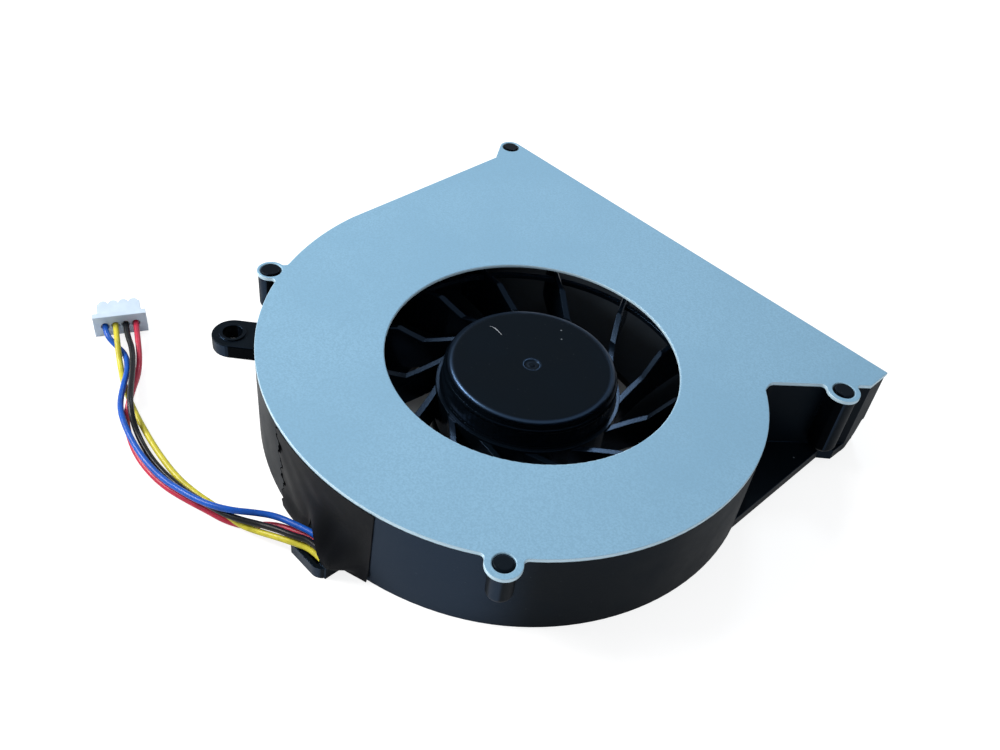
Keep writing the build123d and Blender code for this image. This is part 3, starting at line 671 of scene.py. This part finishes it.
def ceramicBlock(name):
    # Brown ceramic body between tinned ends
    graph = Graph(name)
    speckle = graph.noise(2200.0, 2.0)
    ends = graph.noise(420.0, 1.0).ramp(0.55, 0.60)
    color = graph.mixColor(speckle.ramp(0.3, 0.7), *ceramicLook["body"])
    return graph.finish(
        Base_Color=graph.mixColor(ends, color, ceramicLook["tin"]),
        Metallic=ends * ceramicLook["metallic"],
        Roughness=speckle.ramp(0.3, 0.7, *ceramicLook["roughness"]),
    )


# Plug

plugLook = {
    "color": (0.640, 0.755, 0.880),
    "shade": (0.560, 0.670, 0.790),
    "roughness": (0.38, 0.50),
    "edgeRadius": 0.12 * mm,
    "depth": 0.10,                        # share of the light that goes into the nylon
    "depths": (0.0008, 0.0009, 0.0011),
}


def plugNylon(name):
    # White nylon: slightly cloudy, soft gloss, faint flow marks
    graph = Graph(name)
    cloud = graph.noise(420.0, 4.0)
    flow = graph.noise(1900.0, 2.0)
    return graph.finish(
        Base_Color=graph.mixColor(cloud.ramp(0.3, 0.7), plugLook["shade"], plugLook["color"]),
        Roughness=cloud.ramp(0.3, 0.7, *plugLook["roughness"]),
        Normal=graph.bump(flow, 0.000008, 1.0, graph.rounded(plugLook["edgeRadius"])),
        Subsurface_Weight=plugLook["depth"],
        Subsurface_Radius=plugLook["depths"],
    )


rotorFinish = mouldedPlastic("rotorPlastic", rotorLook, rotorGloss)
finishes = {
    "housing_base": mouldedPlastic("housingPlastic", housingLook, housingGloss),
    "impeller": rotorFinish,
    "top_cover": paintedCover("coverPaint"),
    "stator_core": layeredCore("coreSheets"),
    "stator_windings": woundCopper("coilCopper"),
    "circuit_board": printedBoard("boardMask"),
    "board_capacitors": ceramicBlock("capacitorCeramic"),
    "plug_housing": plugNylon("plugNylon"),
    **{nodeName: turnedMetal(nodeName, *metal) for nodeName, metal in innerMetals.items()},
    **{nodeName: mattSolid(nodeName, *solid) for nodeName, solid in innerSolids.items()},
}
for nodeName, finish in finishes.items():
    dress(nodeName, finish)
print("carried-over pieces finished")


# Surfaces on a grid

def gridPiece(name, points, body, material, closed=False, capped=False):
    # points is rows x columns x 3; each quad joins a point with the next in both ways.
    # A closed grid joins its last column to the first, a capped one fills its end rows.
    rows, columns = points.shape[:2]
    number = np.arange(rows * columns).reshape(rows, columns)
    if closed:
        number = np.concatenate([number, number[:, :1]], axis=1)
    quads = np.stack([number[:-1, :-1], number[:-1, 1:], number[1:, 1:], number[1:, :-1]], axis=-1)
    faces = quads.reshape(-1, 4).tolist()
    if capped:
        faces += [number[0, :columns][::-1].tolist(), number[-1, :columns].tolist()]
    mesh = bpy.data.meshes.new(name)
    mesh.from_pydata(points.reshape(-1, 3).tolist(), [], faces)
    mesh.polygons.foreach_set("use_smooth", np.ones(len(mesh.polygons), bool))
    mesh.materials.append(material)
    piece = bpy.data.objects.new(name, mesh)
    bpy.context.scene.collection.objects.link(piece)
    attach(piece, body)
    return piece


def smooth(value, low, high):
    # 0 at low and 1 at high, eased at both ends; low may be the greater one
    share = np.clip((value - low) / (high - low), 0.0, 1.0)
    return share * share * (3.0 - 2.0 * share)


# Tape over the wires' exit

tapeLook = {
    "grid": (150, 190),
    "top": 11.03,
    "thickness": 0.13,
    "bandFrom": 9.0,                      # above this height the tape's solid is a plain band
    "middle": 268.0,                      # azimuth of the band's middle
    "leftEdge": (253.6, 256.3),           # azimuth of the torn edge at the top and the bottom
    "rightEdge": (284.0, 282.9),
    "tearWaves": [(0.42, 2.3, 0.6), (0.30, 5.7, 1.0), (0.10, 14.0, 0.0)],   # size, pace, start
    "nicks": (0.22, 3.9, 6),              # size, pace and sharpness
    "bottom": 0.12,
    "bulge": 2.55,
    "bulgeStart": (-2.4, 2.3),            # X where the bulge starts and where it is whole
    "bulgeEnd": (3.3, 6.4),
    "bulgeHeights": (7.0, 2.2),
    "foot": (0.12, 0.3, 1.9),             # share of the bulge at the foot, and where it grows
    "flare": 0.46,
    "flareHeights": (0.1, 2.4),
    "ripple": 0.02,
    "edgeX": (-12.0, -2.5, -1.5, -0.5, 1.0, 1.8, 2.6, 3.0, 3.75, 3.95, 12.0),
    "edgeZ": (0.12, 0.12, 3.45, 3.52, 3.45, 3.12, 2.45, 1.95, 1.72, 0.12, 0.12),
    "tears": [(8.6, 1.0, 1.05), (6.1, 0.6, 0.45), (3.8, 0.8, 0.75)],    # height, spread and depth
    "leastTear": 0.10,
    # place and size of the painted shade beside the wires' ends, and how dark it gets
    "pressedAt": (0.0017, -0.0335, 0.0056),
    "pressedSize": (0.0010, 0.0046),
    "pressedShadeShare": 0.85,
    "color": (0.0075, 0.0088, 0.0115),
    "dark": (0.0045, 0.0054, 0.0072),
    "paintedShade": (0.0012, 0.0014, 0.0018),
    "roughness": (0.42, 0.56),
    "specular": 0.09,
}


def wallRadius(azimuth):
    # The band's own outer radius by azimuth, read from the tape's solid above its hood
    corners = np.empty(3 * len(nodes["wire_tape"].data.vertices))
    nodes["wire_tape"].data.vertices.foreach_get("co", corners)
    corners = corners.reshape(-1, 3) / mm
    band = corners[corners[:, 2] > tapeLook["bandFrom"]]
    angles = np.degrees(np.arctan2(band[:, 1], band[:, 0])) % 360
    radii = np.hypot(band[:, 0], band[:, 1])
    outer = radii > np.median(radii) - 0.3
    curve = np.polyfit(angles[outer] - tapeLook["middle"], radii[outer], 3)
    return np.polyval(curve, azimuth - tapeLook["middle"])


def between(ends, share):
    return ends[0] + (ends[1] - ends[0]) * share


def tapeSurface(rows, columns):
    # Points on the wall's own curve, pushed out by a bulge that rises over the wires and
    # by a slight flare at the lower edge; the left edge is torn, so its azimuth wanders as
    # a sum of sines of the height. torn is 1 at that edge and 0 past the depth of its tears.
    down = np.linspace(0.0, 1.0, rows)[:, None]
    along = np.linspace(0.0, 1.0, columns)[None, :]
    height = between((tapeLook["top"], tapeLook["bottom"]), down)
    nick, pace, sharpness = tapeLook["nicks"]
    tear = nick * np.abs(np.sin(pace * height)) ** sharpness
    tear += sum(size * np.sin(speed * height + start) for size, speed, start in tapeLook["tearWaves"])
    left = between(tapeLook["leftEdge"], down) + tear
    right = between(tapeLook["rightEdge"], down)
    azimuth = between((left, right), along)
    wall = wallRadius(azimuth)
    x = wall * np.cos(np.radians(azimuth))
    z = between((tapeLook["top"], np.interp(x, tapeLook["edgeX"], tapeLook["edgeZ"])), down)
    across = smooth(x, *tapeLook["bulgeStart"]) * (1.0 - smooth(x, *tapeLook["bulgeEnd"]))
    least, *growth = tapeLook["foot"]
    foot = least + (1.0 - least) * smooth(z, *growth)
    swell = tapeLook["bulge"] * across * smooth(z, *tapeLook["bulgeHeights"]) * foot
    flare = tapeLook["flare"] * (1.0 - smooth(z, *tapeLook["flareHeights"])) * (1.0 - 0.4 * along)
    ripple = tapeLook["ripple"] * np.sin(0.9 * azimuth + 1.3 * z) * smooth(z, 10.6, 8.0)
    radius = wall + swell + flare + ripple
    turn = np.radians(azimuth)
    points = np.stack([radius * np.cos(turn), radius * np.sin(turn), z], axis=-1) * mm
    depth = sum(reach * np.exp(-((z - at) / spread) ** 2) for at, spread, reach in tapeLook["tears"])
    depth += tapeLook["leastTear"]
    torn = 1.0 - smooth(wall * np.radians(azimuth - left), 0.55 * depth, depth)
    return points[:, ::-1], torn[:, ::-1]


def tapeFinish(name):
    # Black acetate tape: satin, finely matted; a near-black painted shade lies at the torn edge and
    # where it is pressed in beside the wires, standing in for the little light that comes back from there
    graph = Graph(name)
    torn = graph.add("ShaderNodeAttribute", {"attribute_name": "torn"}, {}, "Fac")
    pressed = graph.measure("DISTANCE", graph.place, tapeLook["pressedAt"]).fade(*tapeLook["pressedSize"])
    # painted shade: near-black laid over the torn edge and the pressed-in place
    graph.overlay(
        torn.greater(tapeLook["pressedShadeShare"] * pressed), Base_Color=tapeLook["paintedShade"],
        Roughness=0.9, Specular_IOR_Level=0.0,
    )
    cloud = graph.noise(160.0, 4.0)
    creases = graph.noise(420.0, 3.0, 0.6, graph.stretched((1.0, 1.0, 0.35)))
    creased = graph.bump(creases, 0.00003, 0.8)
    return graph.finish(
        Base_Color=graph.mixColor(cloud.ramp(0.3, 0.7), tapeLook["dark"], tapeLook["color"]),
        Roughness=cloud.ramp(0.3, 0.7, *tapeLook["roughness"]),
        Normal=graph.bump(graph.noise(3600.0, 2.0), 0.000006, 1.0, creased),
        Specular_IOR_Level=tapeLook["specular"],
    )


def makeTape():
    points, torn = tapeSurface(*tapeLook["grid"])
    piece = gridPiece("exitTape", points, "housing", tapeFinish("exitTapeFilm"))
    piece.data.attributes.new("torn", "FLOAT", "POINT").data.foreach_set("value", torn.ravel())
    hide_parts("wire_tape")
    shell = piece.modifiers.new("thickness", "SOLIDIFY")
    shell.thickness = tapeLook["thickness"] * mm
    shell.offset = -1.0


makeTape()
print("tape laid")


# Small things on the hub: the gate mark in its dimple and a stray hair

hubLook = {
    "top": 9.9,
    "markColumns": 48,
    "markProfile": [(0.0, 9.79), (0.20, 9.79), (0.34, 9.76), (0.42, 9.69), (0.46, 9.60)],
    "markLift": 0.012,
    "hairGrid": (24, 8),
    "hairPath": [(-8.04, 0.68), (-7.49, 0.94), (-6.71, 0.88), (-5.95, 0.75)],
    "hairRadius": 0.035,
    "hairColor": (0.62, 0.68, 0.75),
}


def gateMark(columns):
    # The profile's radius and height turned round the rotor's axis, with three faint lobes
    profile = np.array(hubLook["markProfile"])[::-1]
    outerRadius = profile[0, 0]
    turn = np.linspace(0.0, 2.0 * np.pi, columns, endpoint=False)[None, :]
    radius = np.maximum(profile[:, :1], 0.002)
    lift = hubLook["markLift"] * np.sin(3.0 * turn + 0.5) * profile[:, :1] / outerRadius
    height = profile[:, 1:] + lift
    return np.stack([radius * np.cos(turn), radius * np.sin(turn), height], axis=-1) * mm


def hairStrand(rows, columns):
    # A round section, thinner at its ends, carried along a smooth curve through the path
    path = np.array(hubLook["hairPath"])
    share = np.linspace(0.0, 1.0, len(path))
    steps = np.linspace(0.0, 1.0, rows)
    x = np.polyval(np.polyfit(share, path[:, 0], 3), steps)[:, None]
    y = np.polyval(np.polyfit(share, path[:, 1], 3), steps)[:, None]
    slope = np.arctan2(np.gradient(y[:, 0]), np.gradient(x[:, 0]))[:, None]
    turn = np.linspace(0.0, 2.0 * np.pi, columns, endpoint=False)[None, :]
    thickness = hubLook["hairRadius"] * (0.35 + 0.65 * np.sin(np.pi * steps)[:, None])
    side = thickness * np.cos(turn)
    z = hubLook["top"] + hubLook["hairRadius"] + thickness * np.sin(turn)
    return np.stack([x - side * np.sin(slope), y + side * np.cos(slope), z], axis=-1) * mm


def fibreFinish(name):
    # Pale fibre, a little darker in places along its length
    graph = Graph(name)
    length = graph.noise(3000.0, 2.0)
    pale = hubLook["hairColor"]
    return graph.finish(
        Base_Color=graph.mixColor(length.ramp(0.3, 0.7), darker(pale, 0.6), pale),
        Roughness=length.ramp(0.3, 0.7, 0.35, 0.55),
    )


mark = gateMark(hubLook["markColumns"])
hair = hairStrand(*hubLook["hairGrid"])
gridPiece("gateMark", mark, "rotor", rotorFinish, closed=True, capped=True)
gridPiece("strayHair", hair, "rotor", fibreFinish("hairFibre"), True, True)
print("hub's small things made")
